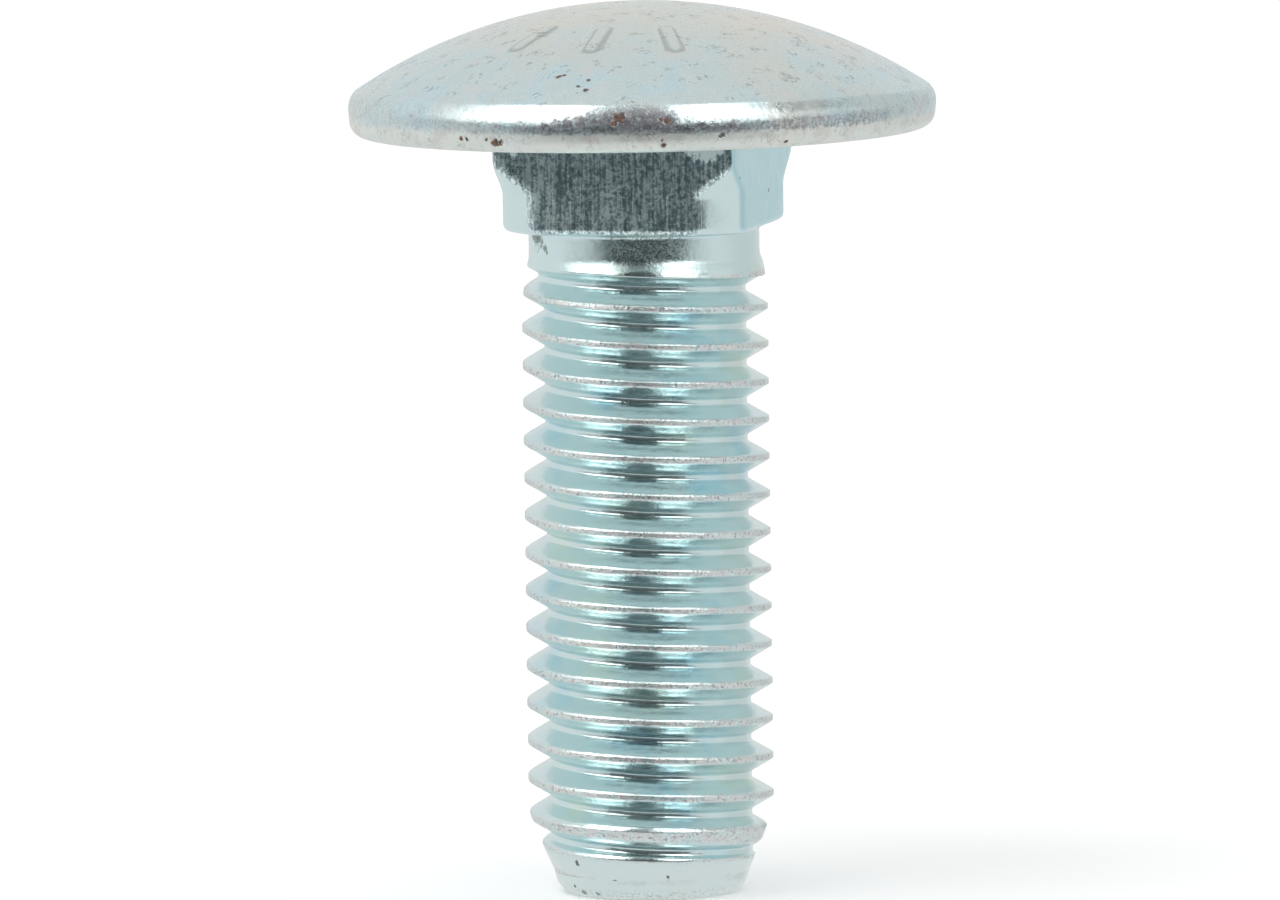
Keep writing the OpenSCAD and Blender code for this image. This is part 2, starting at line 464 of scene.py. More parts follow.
@dataclass
class Stem:
    """Shank with its rolled left-hand thread and its coned point."""

    shank_d: float = 9.2
    fillet: float = 0.15
    neck_z: float = 26.63
    rise_z: float = 25.43
    crest_rise: float = 1.7
    thread_d: float = 9.84
    pitch: float = 1.5
    depth: float = 0.94
    crest_w: float = 0.17
    flank: float = 30.0
    turn: float = 32.0
    top_z: float = 25.68
    fade: float = 0.9
    point_d: float = 7.42
    nose_angle: float = 12.0
    nose_l: float = 0.85
    point_angle: float = 24.0
    point_edge_r: float = 0.8
    crest_softness: float = 0.03
    root_softness: float = 0.05
    crest_noise: float = 0.03
    crest_spread: float = 0.05
    root_lift: float = 0.045
    flare: float = 0.11
    flare_angle: float = -50.0
    flare_end: tuple[float, float] = (0.25, 0.6)
    flare_start: tuple[float, float] = (1.5, 0.9)
    cone_softness: float = 0.12
    overshoot: float = 0.1
    open_r: float = 99.0
    point_mark_z: float = 1.9
    thread_mark_z: float = 1.2
    block_top: float = 26.05
    phases: tuple[float, ...] = (
        0.0, 0.035, 0.07, 0.1, 0.13, 0.17, 0.26, 0.37, 0.43, 0.455,
        0.5, 0.545, 0.57, 0.63, 0.74, 0.83, 0.87, 0.9, 0.93, 0.965,
    )

    @property
    def crest_r(self) -> float:
        """Radius over the crests."""
        return self.thread_d / 2

    @property
    def root_r(self) -> float:
        """Radius at the root."""
        return self.crest_r - self.depth

    @property
    def nose_r(self) -> float:
        """Radius where the nose meets the cone."""
        return self.point_d / 2 + self.nose_l * math.tan(math.radians(self.nose_angle))

    @property
    def start_z(self) -> float:
        """Height at which the groove starts, below the flat end."""
        return -self.pitch

    @property
    def turns(self) -> float:
        """Turns of the groove from its start to where it has faded out."""
        return (self.top_z - self.start_z) / self.pitch

    def blank(self, z: np.ndarray, angle: np.ndarray) -> np.ndarray:
        """Radius of the blank: a cone, the crests' cylinder and a slow fall to the shank with a flare.

        Formula: the flare is widest at the front on the right, and fades to nothing on the opposite
        side.

        Args:
            z: Heights.
            angle: Angles round the axis in degrees.

        Returns:
            Radii, in the shape of z.
        """
        cone = self.nose_r + (z - self.nose_l) * math.tan(math.radians(self.point_angle))
        fall = (z - self.rise_z + self.crest_rise) / self.crest_rise
        upper = self.crest_r + (self.shank_d / 2 - self.crest_r) * np.clip(fall, 0.0, 1.0)
        side = 0.5 + 0.5 * np.cos(np.radians(angle - self.flare_angle))
        end = ease((self.rise_z + self.flare_end[0] - z) / self.flare_end[1])
        start = ease((z - self.rise_z + self.flare_start[0]) / self.flare_start[1])
        upper = upper + self.flare * side * end * start
        return smooth_min(cone, upper, self.cone_softness)

    def faded(self, t: np.ndarray) -> np.ndarray:
        """Share of the groove's fade that lies behind turn t."""
        return np.clip(1.0 - (self.turns - t) / self.fade, 0.0, 1.0)

    def centre_z(self, t: np.ndarray) -> np.ndarray:
        """Height of the groove's middle at turn t, whose climb slackens as the groove fades."""
        return self.start_z + self.pitch * (t - 0.75 * self.fade * self.faded(t) ** 2)

    def groove(self, away: np.ndarray, t: np.ndarray) -> np.ndarray:
        """Radius of the groove's surface.

        Formula: the root's radius plus, outside the root's flat, the distance from it over the tangent
        of the flank angle, plus the amount by which the groove has backed out. Beyond the last turn
        there is no groove.

        Args:
            away: Distance along the axis from the groove's middle.
            t: Turn of the groove.

        Returns:
            Radii, in the shape of away.
        """
        slope = math.tan(math.radians(self.flank))
        half_root = (self.pitch - self.crest_w - self.crest_spread - 2 * self.depth * slope) / 2
        rise = (np.abs(away) - half_root) / slope
        lift = self.root_lift
        rise = 0.5 * (rise + lift + np.sqrt((rise - lift) ** 2 + self.root_softness**2))
        backed_out = ease(self.faded(t) ** 1.4) * (self.depth + self.overshoot)
        return np.where(t > self.turns, self.open_r, self.root_r + rise + backed_out)

    def thread(self, columns: Columns) -> Sheet:
        """The thread as one sheet whose rows climb with the groove.

        Formula: row k of turn m stands at share k of the way from the groove's middle at turn m to its
        middle one turn on, so that some rows always lie on the edges of the crest and of the root. The
        radius is the smallest of the blank and of the groove below and above, with rounded crests. Rows
        beyond the ends are held at the ends, where they merge.

        Args:
            columns: The columns of vertices.

        Returns:
            The thread's sheet. Its last column meets the first column one turn lower.
        """
        phases = np.array(self.phases)
        first, last = 0, int(math.ceil(self.turns)) + 2
        whole = np.repeat(np.arange(first, last), len(phases)).astype(float)[:, None]
        share = np.tile(phases, last - first)[:, None]
        angle = columns.even()[None, :]
        t = (self.turn - angle) / 360.0 + whole
        below, above = self.centre_z(t), self.centre_z(t + 1.0)
        z = below + (above - below) * share
        z = np.clip(z, self.nose_l, self.block_top)
        blank = self.blank(z, angle)
        cut = np.minimum(self.groove(z - below, t), self.groove(above - z, t + 1.0))
        crest = ease((cut - blank) / 0.05 + 0.4) * ease((self.rise_z - 0.35 - z) / 0.3) * (z > self.nose_l)
        crest = crest * np.where(z < self.point_mark_z, ease(1.0 - (cut - blank - 0.12) / 0.25), 1.0)
        along = t * 360.0 / 4.0
        rough = 0.5 + 0.35 * smooth_noise(along, 11) + 0.15 * smooth_noise(along * 3.1 + share * 40.0, 12)
        blank = blank - self.crest_noise * rough * crest
        r = smooth_min(blank, cut, self.crest_softness)
        r = np.where(z <= self.nose_l, self.nose_r, r)
        r = np.where(z >= self.block_top, self.shank_d / 2, r)
        thread = ease((z - self.thread_mark_z) / 0.6) * ease((self.rise_z + 0.2 - z) / 0.5)
        point = ease((self.point_mark_z - z) / 0.6) * ease((cut - blank) / 0.1 + 0.5)
        a = np.radians(angle)
        points = np.stack((r * np.cos(a), r * np.sin(a), z), axis=-1)
        plain = ease((z - self.rise_z + 0.45) / 0.4)
        marks = {Mark.CREST: crest, Mark.THREAD: thread, Mark.POINT: point, Mark.SHANK: plain}
        return Sheet(points, marks, shift=len(phases))

    def foot(self, columns: Columns) -> Sheet:
        """The flat end, its rounded edge and the nose, from the pole outwards and up.

        Args:
            columns: The columns of vertices.

        Returns:
            The foot's sheet.
        """
        slope = math.radians(self.nose_angle)
        edge_r = self.point_edge_r
        r = self.nose_r - (self.nose_l - edge_r) * math.tan(slope) - edge_r / math.cos(slope)
        flat = np.column_stack((np.linspace(0.0, r, 7), np.zeros(7)))
        edge = arc((r, edge_r), edge_r, -90.0, -self.nose_angle, 10)
        share = (np.arange(1, 6) / 5.0)[:, None]
        nose = edge[-1] + (np.array((self.nose_r, self.nose_l)) - edge[-1]) * share
        points = columns.ring(np.vstack((flat[:-1], edge, nose)))
        return Sheet(points, {Mark.POINT: np.ones(points.shape[:2])})

    def shank(self, columns: Columns) -> Sheet:
        """The plain shank and the fillet under the neck.

        Args:
            columns: The columns of vertices.

        Returns:
            The shank's sheet.
        """
        r = self.shank_d / 2
        wall = np.column_stack((np.full(6, r), np.linspace(self.block_top, self.neck_z - self.fillet, 6)))
        fillet = arc((r + self.fillet, self.neck_z - self.fillet), self.fillet, 180.0, 90.0, 5)
        fillet[0] = wall[-1]
        points = columns.ring(np.vstack((wall, fillet[1:])))
        return Sheet(points, {Mark.SHANK: np.ones(points.shape[:2])})


@dataclass(frozen=True)
class Dent:
    """A soft dent: vertices move by the depth times a bell curve of their distance from its middle."""

    place: tuple[float, float, float]
    radius: float
    depth: float
    push: tuple[float, float, float]

    def move(self, points: np.ndarray) -> np.ndarray:
        """Dents some points.

        Args:
            points: Points in millimetres.

        Returns:
            The moved points.
        """
        far = np.linalg.norm(points - np.array(self.place), axis=-1) / self.radius
        push = np.array(self.push) / np.linalg.norm(self.push)
        return points + (self.depth * np.exp(-(far**2)))[..., None] * push


@dataclass
class Skin:
    """Sheets that meet at their edges and become one closed mesh."""

    sheets: list[Sheet] = field(default_factory=list)
    dents: list[Dent] = field(default_factory=list)

    @staticmethod
    def quads(sheet: Sheet, offset: int) -> np.ndarray:
        """Corners of the sheet's quads, with the last column joined to the first.

        Args:
            sheet: The sheet.
            offset: Number of vertices in the sheets before it.

        Returns:
            Array of four vertex numbers a row.
        """
        rows, columns = sheet.shape
        i, j = np.meshgrid(np.arange(rows - 1), np.arange(columns), indexing="ij")
        wraps = j == columns - 1
        right = np.where(wraps, 0, j + 1)
        low = np.where(wraps, np.maximum(i - sheet.shift, 0), i)
        high = np.where(wraps, np.maximum(i + 1 - sheet.shift, 0), i + 1)
        corners = (i * columns + j, low * columns + right, high * columns + right, (i + 1) * columns + j)
        return np.stack(corners, axis=-1).reshape(-1, 4) + offset

    def mesh(self, name: str) -> bpy.types.Mesh:
        """Merges the sheets' shared vertices, drops the quads that have no area and makes the mesh.

        Args:
            name: Name of the mesh.

        Returns:
            The mesh, in metres, smooth shaded, with one float attribute for each kind of mark.
        """
        sizes = [s.shape[0] * s.shape[1] for s in self.sheets]
        offsets = np.concatenate(([0], np.cumsum(sizes)[:-1]))
        points = np.vstack([s.points.reshape(-1, 3) for s in self.sheets])
        quads = np.vstack([self.quads(s, int(o)) for s, o in zip(self.sheets, offsets)])
        rounded = np.round(points, MERGE_DECIMALS) + 0.0
        _, first, merged = np.unique(rounded, axis=0, return_index=True, return_inverse=True)
        quads = merged.reshape(-1)[quads]
        same = quads == np.roll(quads, -1, axis=1)
        corners = quads[same.sum(axis=1) == 0]
        slim = same.sum(axis=1) == 1
        keep = ~same[slim]
        triangles = quads[slim][keep].reshape(-1, 3)
        vertices = points[first]
        for dent in self.dents:
            vertices = dent.move(vertices)
        mesh = bpy.data.meshes.new(name)
        mesh.from_pydata((vertices * MM).tolist(), [], corners.tolist() + triangles.tolist())
        for mark in Mark:
            values = np.concatenate([
                np.broadcast_to(s.marks.get(mark, 0.0), s.shape).reshape(-1) for s in self.sheets
            ])[first]
            attribute = mesh.attributes.new(mark.value, "FLOAT", "POINT")
            attribute.data.foreach_set("value", values.astype(np.float32))
        mesh.polygons.foreach_set("use_smooth", np.ones(len(mesh.polygons), bool))
        mesh.validate()
        mesh.update()
        return mesh


@dataclass
class PhotoCamera:
    """Camera at the photograph's viewing angle, fitted to the bolt's outline."""

    elevation: float = 5.8
    roll: float = 0.7533
    distance: float = 750.0
    target_z: float = 18.04
    pixels_per_mm: float = 25.0896
    centre: tuple[float, float] = (646.64, 440.48)
    sensor: float = 36.0

    def axes(self) -> tuple[Vector, Vector, Vector]:
        """Directions to the right of the picture, to its top and ahead of the camera.

        Formula: the camera looks down by the elevation, and is rolled about the direction ahead.

        Returns:
            Three unit vectors.
        """
        e, r = math.radians(self.elevation), math.radians(self.roll)
        right, up = Vector((1.0, 0.0, 0.0)), Vector((0.0, math.sin(e), math.cos(e)))
        ahead = Vector((0.0, math.cos(e), -math.sin(e)))
        return right * math.cos(r) - up * math.sin(r), right * math.sin(r) + up * math.cos(r), ahead

    def away(self, pixel: tuple[float, float]) -> tuple[float, float]:
        """Millimetres to the right of and above the middle of the picture, at the target's distance."""
        x, y = pixel[0] - IMAGE_WIDTH / 2, IMAGE_HEIGHT / 2 - pixel[1]
        return x / self.pixels_per_mm, y / self.pixels_per_mm

    def place(self) -> Vector:
        """Place of the camera in millimetres, moved sideways so that the target falls on its pixel.

        Returns:
            The place.
        """
        axis_x, axis_y, ahead = self.axes()
        side, rise = self.away(self.centre)
        return Vector((0.0, 0.0, self.target_z)) - axis_x * side - axis_y * rise - ahead * self.distance

    def ray(self, pixel: tuple[float, float]) -> Vector:
        """Direction from the camera through a pixel of the photograph.

        Args:
            pixel: Pixel of the photograph.

        Returns:
            The direction, as a unit vector.
        """
        axis_x, axis_y, ahead = self.axes()
        side, rise = self.away(pixel)
        return (ahead * self.distance + axis_x * side + axis_y * rise).normalized()

    def build(self) -> bpy.types.Object:
        """Makes the camera.

        Returns:
            The camera's object.
        """
        axis_x, axis_y, ahead = self.axes()
        data = bpy.data.cameras.new("photo_camera")
        data.sensor_width = self.sensor
        data.lens = self.sensor * self.pixels_per_mm * self.distance / IMAGE_WIDTH
        data.clip_start, data.clip_end = 0.01, 100.0
        camera = bpy.data.objects.new("photo_camera", data)
        matrix = Matrix((axis_x, axis_y, -ahead)).transposed().to_4x4()
        matrix.translation = self.place() * MM
        camera.matrix_world = matrix
        bpy.context.scene.collection.objects.link(camera)
        bpy.context.scene.camera = camera
        return camera


@dataclass
class Seen:
    """Finds the places on a mesh that the photograph's pixels show."""

    mesh: bpy.types.Mesh
    camera: PhotoCamera

    def __post_init__(self) -> None:
        """Makes the search tree of the mesh's faces."""
        shape = bmesh.new()
        shape.from_mesh(self.mesh)
        self.tree = BVHTree.FromBMesh(shape)
        shape.free()

    def at(self, pixel: tuple[float, float]) -> tuple[float, float, float]:
        """Place that a pixel shows.

        Args:
            pixel: Pixel of the photograph.

        Returns:
            The place in millimetres, where the ray from the camera through the pixel first meets the mesh.
        """
        place = self.tree.ray_cast(self.camera.place() * MM, self.camera.ray(pixel))[0]
        return tuple(v / MM for v in place)


class Nodes:
    """A node tree with short ways to add nodes, sums and mixes."""

    def __init__(self, tree: bpy.types.NodeTree) -> None:
        """Keeps the tree and empties it."""
        self.tree = tree
        tree.nodes.clear()

    def add(self, kind: str, **values: object) -> bpy.types.Node:
        """Adds a node and sets its properties.

        Args:
            kind: The node's type.
            values: Properties of the node.

        Returns:
            The node.
        """
        node = self.tree.nodes.new(kind)
        for key, value in values.items():
            setattr(node, key, value)
        return node

    def feed(self, value: object, socket: Socket) -> None:
        """Links a socket, or writes a plain value.

        Args:
            value: A socket or a plain value.
            socket: The input that takes it.
        """
        if isinstance(value, bpy.types.NodeSocket):
            self.tree.links.new(value, socket)
        else:
            socket.default_value = value

    def sum(self, operation: str, *values: object, clamp: bool = False) -> Socket:
        """Result of a Math node.

        Args:
            operation: The node's operation.
            values: Sockets or numbers.
            clamp: Whether the result is held between 0 and 1.

        Returns:
            The result's socket.
        """
        node = self.add("ShaderNodeMath", operation=operation, use_clamp=clamp)
        for value, socket in zip(values, node.inputs):
            self.feed(value, socket)
        return node.outputs[0]

    def band(
        self, value: Socket, low: float, high: float, to_low: float = 0.0, to_high: float = 1.0
    ) -> Socket:
        """Smooth step of a value between two limits.

        Args:
            value: The value.
            low: Value that gives to_low.
            high: Value that gives to_high.
            to_low: Result at the low limit.
            to_high: Result at the high limit.

        Returns:
            The result's socket.
        """
        node = self.add("ShaderNodeMapRange", interpolation_type="SMOOTHSTEP")
        for item, socket in zip((value, low, high, to_low, to_high), node.inputs):
            self.feed(item, socket)
        return node.outputs[0]

    def mix(self, share: object, first: object, second: object) -> Socket:
        """Mix of two colours.

        Args:
            share: Share of the second colour.
            first: First colour.
            second: Second colour.

        Returns:
            The colour's socket.
        """
        node = self.add("ShaderNodeMix", data_type="RGBA")
        self.feed(share, node.inputs[0])
        self.feed(first, node.inputs[6])
        self.feed(second, node.inputs[7])
        return node.outputs[2]

    def product(self, first: object, *others: object) -> object:
        """Product of some sockets or numbers.

        Args:
            first: A socket or a number.
            others: More sockets or numbers.

        Returns:
            The product's socket, or the first value if it stands alone.
        """
        for other in others:
            first = self.sum("MULTIPLY", first, other)
        return first

    def layers(self, colour: object, *layers: tuple) -> Socket:
        """Lays colours one over the other.

        Args:
            colour: The lowest colour.
            layers: Each layer's colour and the values whose product is its share.

        Returns:
            The colour's socket.
        """
        for paint, *shares in layers:
            colour = self.mix(self.product(*shares), colour, paint)
        return colour

    def total(self, value: object, *parts: tuple) -> Socket:
        """Adds parts to a value.

        Args:
            value: The first value.
            parts: Each part's size and the values whose product it is multiplied with.

        Returns:
            The total's socket.
        """
        for size, *shares in parts:
            value = self.sum("MULTIPLY_ADD", self.product(*shares), size, value)
        return value

    def noise(self, place: Socket, scale: float, detail: float = 2.0, rough: float = 0.5) -> Socket:
        """Value of a Noise texture.

        Args:
            place: The coordinates.
            scale: Cells to one unit.
            detail: Number of finer layers.
            rough: Strength of the finer layers.

        Returns:
            The value's socket.
        """
        node = self.add("ShaderNodeTexNoise")
        self.feed(place, node.inputs["Vector"])
        node.inputs["Scale"].default_value = scale
        node.inputs["Detail"].default_value = detail
        node.inputs["Roughness"].default_value = rough
        return node.outputs[0]

    def stretch(self, place: Socket, scale: tuple[float, float, float]) -> Socket:
        """Coordinates times a scale for each axis.

        Args:
            place: The coordinates.
            scale: Scale along x, y and z.

        Returns:
            The scaled coordinates' socket.
        """
        node = self.add("ShaderNodeVectorMath", operation="MULTIPLY")
        self.feed(place, node.inputs[0])
        node.inputs[1].default_value = scale
        return node.outputs[0]

    def mark(self, mark: Mark) -> Socket:
        """Value of one of the mesh's marks."""
        return self.add("ShaderNodeAttribute", attribute_name=mark.value).outputs["Fac"]


def mask_group(name: str, **inputs: str) -> bpy.types.NodeTree:
    """Makes a node group that puts out one mask.

    Args:
        name: Name of the group.
        inputs: Kind of each input, by its name.

    Returns:
        The group, without nodes.
    """
    tree = bpy.data.node_groups.new(name, "ShaderNodeTree")
    for key, kind in inputs.items():
        tree.interface.new_socket(key, in_out="INPUT", socket_type=f"NodeSocket{kind}")
    tree.interface.new_socket("Mask", in_out="OUTPUT", socket_type="NodeSocketFloat")
    return tree


@dataclass(frozen=True)
class Squiggles:
    """Thin wandering scratches, as a node group: the places where a noise passes through its middle value."""

    name: str = "Squiggles"

    def group(self) -> bpy.types.NodeTree:
        """Makes the group, or finds it.

        Returns:
            The group, with inputs Vector, Scale and Width and one output, the mask.
        """
        found = bpy.data.node_groups.get(self.name)
        if found:
            return found
        tree = mask_group(self.name, Vector="Vector", Scale="Float", Width="Float")
        nodes = Nodes(tree)
        inside = nodes.add("NodeGroupInput")
        noise = nodes.add("ShaderNodeTexNoise")
        nodes.feed(inside.outputs["Vector"], noise.inputs["Vector"])
        nodes.feed(inside.outputs["Scale"], noise.inputs["Scale"])
        noise.inputs["Detail"].default_value = 1.5
        away = nodes.sum("ABSOLUTE", nodes.sum("SUBTRACT", noise.outputs[0], 0.5))
        line = nodes.sum("SUBTRACT", 1.0, nodes.sum("DIVIDE", away, inside.outputs["Width"]), clamp=True)
        outside = nodes.add("NodeGroupOutput")
        nodes.feed(line, outside.inputs["Mask"])
        return tree

    def use(self, nodes: Nodes, place: Socket, scale: float, width: float) -> Socket:
        """Adds the group to a material.

        Args:
            nodes: The material's nodes.
            place: Coordinates in millimetres.
            scale: Scale of the noise.
            width: Width of the lines, as a difference of the noise.

        Returns:
            The mask's socket.
        """
        node = nodes.add("ShaderNodeGroup", node_tree=self.group())
        nodes.feed(place, node.inputs["Vector"])
        nodes.feed(scale, node.inputs["Scale"])
        nodes.feed(width, node.inputs["Width"])
        return node.outputs[0]


@dataclass(frozen=True)
class Spot:
    """A small spot with a ragged edge at one pixel of the photograph, as a node group, for stains, pits,
    painted highlights and painted dark reflections.
    """

    pixel: tuple[float, float]
    radius: float
    raggedness: ClassVar[float] = 3.0
    edge: ClassVar[tuple[float, float]] = (2.1, 2.9)

    @staticmethod
    def group() -> bpy.types.NodeTree:
        """Makes the group, or finds it.

        Formula: the mask falls from 1 to 0 as the distance from the place, less a noise, passes the
        radius.

        Returns:
            The group, with inputs Vector, Place, Radius and Ragged, which is the noise, and one output,
            the mask.
        """
        found = bpy.data.node_groups.get("Spot")
        if found:
            return found
        tree = mask_group("Spot", Vector="Vector", Place="Vector", Radius="Float", Ragged="Float")
        nodes = Nodes(tree)
        inside = nodes.add("NodeGroupInput")
        away = nodes.add("ShaderNodeVectorMath", operation="DISTANCE")
        nodes.feed(inside.outputs["Vector"], away.inputs[0])
        nodes.feed(inside.outputs["Place"], away.inputs[1])
        share = nodes.sum("DIVIDE", away.outputs["Value"], inside.outputs["Radius"])
        share = nodes.sum("MULTIPLY_ADD", inside.outputs["Ragged"], Spot.raggedness, share)
        outside = nodes.add("NodeGroupOutput")
        nodes.feed(nodes.band(share, *Spot.edge, 1.0, 0.0), outside.inputs["Mask"])
        return tree

    def use(self, nodes: Nodes, place: Socket, ragged: Socket, seen: Seen) -> Socket:
        """Adds the group to a material.

        Args:
            nodes: The material's nodes.
            place: Coordinates in millimetres.
            ragged: Noise that makes the edge ragged.
            seen: Finds the place that the pixel shows.

        Returns:
            The mask's socket.
        """
        node = nodes.add("ShaderNodeGroup", node_tree=self.group())
        nodes.feed(place, node.inputs["Vector"])
        nodes.feed(ragged, node.inputs["Ragged"])
        node.inputs["Place"].default_value = seen.at(self.pixel)
        node.inputs["Radius"].default_value = self.radius
        return node.outputs[0]


def spots(*rows: tuple[float, float, float]) -> tuple[Spot, ...]:
    """Spots from rows of a pixel's column, its row and the spot's radius in millimetres."""
    return tuple(Spot((x, y), radius) for x, y, radius in rows)


@dataclass(frozen=True)
class ZincFinish:
    """Bright zinc plate with a pale blue passivation, worn on the crests and the point."""

    name: str = "zinc"
    dome: Colour = (0.645, 0.745, 0.75, 1.0)
    dome_blue: Colour = (0.60, 0.76, 0.80, 1.0)
    plate: Colour = (0.68, 0.83, 0.84, 1.0)
    blue: Colour = (0.46, 0.74, 0.86, 1.0)
    green: Colour = (0.74, 0.85, 0.74, 1.0)
    beige: Colour = (0.76, 0.74, 0.65, 1.0)
    pink: Colour = (0.76, 0.71, 0.70, 1.0)
    worn: Colour = (0.76, 0.745, 0.735, 1.0)
    cream: Colour = (0.80, 0.83, 0.79, 1.0)
    teal: Colour = (0.44, 0.71, 0.76, 1.0)
    nose: Colour = (0.74, 0.84, 0.83, 1.0)
    # Dark blue-grey and pale speckle of the neck's front and back flats: partly their scuffed tone, partly
    # painted dark reflection and shade.
    shaded_slate: Colour = (0.20, 0.30, 0.34, 1.0)
    steel: Colour = (0.86, 1.0, 1.0, 1.0)
    # Colour round the raised bars' edges: painted shade that outlines them.
    outline: Colour = (0.36, 0.40, 0.38, 1.0)
    # Dark violet of the rim's spots and of its front band: partly a real stain, partly painted dark
    # reflection.
    stain_and_dark_reflection: Colour = (0.15, 0.14, 0.17, 1.0)
    core: Colour = (0.05, 0.035, 0.03, 1.0)
    dark_grey: Colour = (0.22, 0.27, 0.25, 1.0)
    dark: Colour = (0.12, 0.13, 0.13, 1.0)
    rust: Colour = (0.24, 0.11, 0.06, 1.0)
    tarnish: Colour = (0.52, 0.42, 0.40, 1.0)
    seat_z: tuple[float, float] = (30.42, 30.48)
    crown_z: tuple[float, float] = (33.4, 35.3)
    # Depth and height of the painted dark reflection on the front of the shank.
    painted_reflection_y: tuple[float, float] = (-4.5, -4.2)
    painted_reflection_z: tuple[float, float] = (25.3, 25.65)
    # Heights of the painted dark reflection along the front of the rim.
    painted_belt_foot_z: tuple[float, float] = (31.2, 31.34)
    painted_belt_top_z: tuple[float, float] = (31.62, 31.9)
    rust_spots: tuple[Spot, ...] = spots(
        (558.6, 76.9, 0.12), (564.2, 75.1, 0.08), (588.3, 80.3, 0.09), (585.9, 89.8, 0.10),
        (495.4, 142.6, 0.17), (500.5, 143.0, 0.11), (486.0, 139.5, 0.07), (461.0, 139.0, 0.09),
        (467.0, 139.4, 0.07), (617.5, 118.0, 0.20), (622.0, 115.5, 0.13), (614.5, 123.0, 0.12),
        (666.7, 121.3, 0.12), (660.7, 119.5, 0.09), (663.7, 145.0, 0.11), (662.0, 140.0, 0.06),
        (786.3, 141.7, 0.08),
    )
    dark_spots: tuple[Spot, ...] = spots(
        (721.7, 134.7, 0.11), (616.0, 2.6, 0.08), (768.7, 190.0, 0.07), (740.0, 178.0, 0.05),
        (577.2, 863.2, 0.10), (575.0, 886.0, 0.06), (668.0, 877.0, 0.06), (578.2, 86.3, 0.08),
    )
    # Dark grey patches under the neck's left corner and along the flat end's edge.
    grey_spots: tuple[Spot, ...] = spots(
        (534.0, 236.0, 0.16), (538.0, 239.0, 0.20), (542.0, 243.0, 0.20), (545.0, 248.0, 0.14),
        (547.0, 253.0, 0.08), (585.0, 893.0, 0.12), (598.0, 894.0, 0.10),
    )
    # Dark violet spots on the rim's middle front: partly a real stain, partly a painted dark reflection.
    stain_and_reflection_spots: tuple[Spot, ...] = spots(
        (592.0, 118.0, 0.30), (606.0, 112.0, 0.50), (622.0, 112.0, 0.60), (640.0, 111.0, 0.60),
        (656.0, 113.0, 0.55), (670.0, 119.0, 0.30), (580.0, 122.0, 0.25), (568.0, 124.0, 0.22),
        (556.0, 125.0, 0.20), (545.0, 127.0, 0.18), (625.0, 124.0, 0.40), (650.0, 125.0, 0.40),
        (700.0, 125.0, 0.20), (716.0, 127.0, 0.20), (732.0, 124.0, 0.18),
    )
    # Spots on the lip under the head made non-metal, so they show pale in the even light: a painted
    # highlight.
    pale_highlight_spots: tuple[Spot, ...] = spots(
        (690.0, 151.5, 0.16), (697.0, 153.5, 0.22), (704.0, 154.5, 0.26), (712.0, 153.5, 0.22),
        (719.0, 151.5, 0.16), (513.0, 152.8, 0.14), (521.0, 152.8, 0.14),
    )

    def plating(self, bolt: "Ground") -> Socket:
        """Colour of the plate, from the dome's clouds to the worn crests, with painted dark reflection and
        shade on the neck's front and back flats, which are scuffed by drawing, and on the front of the shank.

        Args:
            bolt: The shared places, marks and noises.

        Returns:
            The colour's socket.
        """
        nodes, place, below = bolt.nodes, bolt.place, bolt.below
        hue = nodes.noise(place, 0.33, 2.0)
        cloud = nodes.band(nodes.noise(place, 0.16, 3.0, 0.55), 0.5, 0.72, 0.0, 0.5)
        crown = nodes.product(nodes.band(bolt.height_z, *self.crown_z), bolt.top)
        crown = nodes.sum("MULTIPLY_ADD", crown, 0.5, cloud, clamp=True)
        blush = nodes.band(bolt.fine_cloud, 0.52, 0.75, 0.0, 0.5)
        patchy = nodes.band(nodes.noise(place, 2.2, 3.0, 0.6), 0.35, 0.65, 0.2, 0.8)
        # Painted dark reflection on the front of the shank, near where the thread begins.
        front = nodes.band(bolt.depth_y, *self.painted_reflection_y, 1.0, 0.0)
        patch = nodes.product(front, nodes.band(bolt.height_z, *self.painted_reflection_z))
        return nodes.layers(
            nodes.mix(nodes.band(nodes.noise(place, 0.45, 3.0, 0.6), 0.45, 0.62), self.dome, self.dome_blue),
            (self.plate, below),
            (self.beige, crown, nodes.band(below, 0.0, 1.0, 1.0, 0.35)),
            (self.pink, blush, nodes.band(below, 0.0, 1.0, 1.0, 0.3)),
            (self.cream, bolt.skirt, 0.85),
            (self.teal, bolt.tinted, 0.9),
            (self.blue, nodes.band(hue, 0.54, 0.7, 0.0, 0.4), bolt.thread),
            (self.green, nodes.band(hue, 0.45, 0.3, 0.0, 0.55), bolt.thread),
            (self.nose, bolt.point, 0.7),
            (self.worn, bolt.crest, patchy),
            (self.dark, nodes.band(bolt.speckle, 0.52, 0.66), bolt.crest, 0.55),
            # Neck's front and back flats painted dark: partly their scuffed tone, partly a painted dark
            # reflection and shade.
            (nodes.mix(bolt.smoky, self.shaded_slate, self.steel), bolt.drawn_and_shaded, 0.9),
            (self.plate, bolt.shank, 0.4),
            # Painted dark reflection: the front of the shank darkened, speckled by the grain.
            (self.dark, patch, nodes.band(bolt.grain, 0.56, 0.44, 0.0, 0.65), bolt.shank),
        )

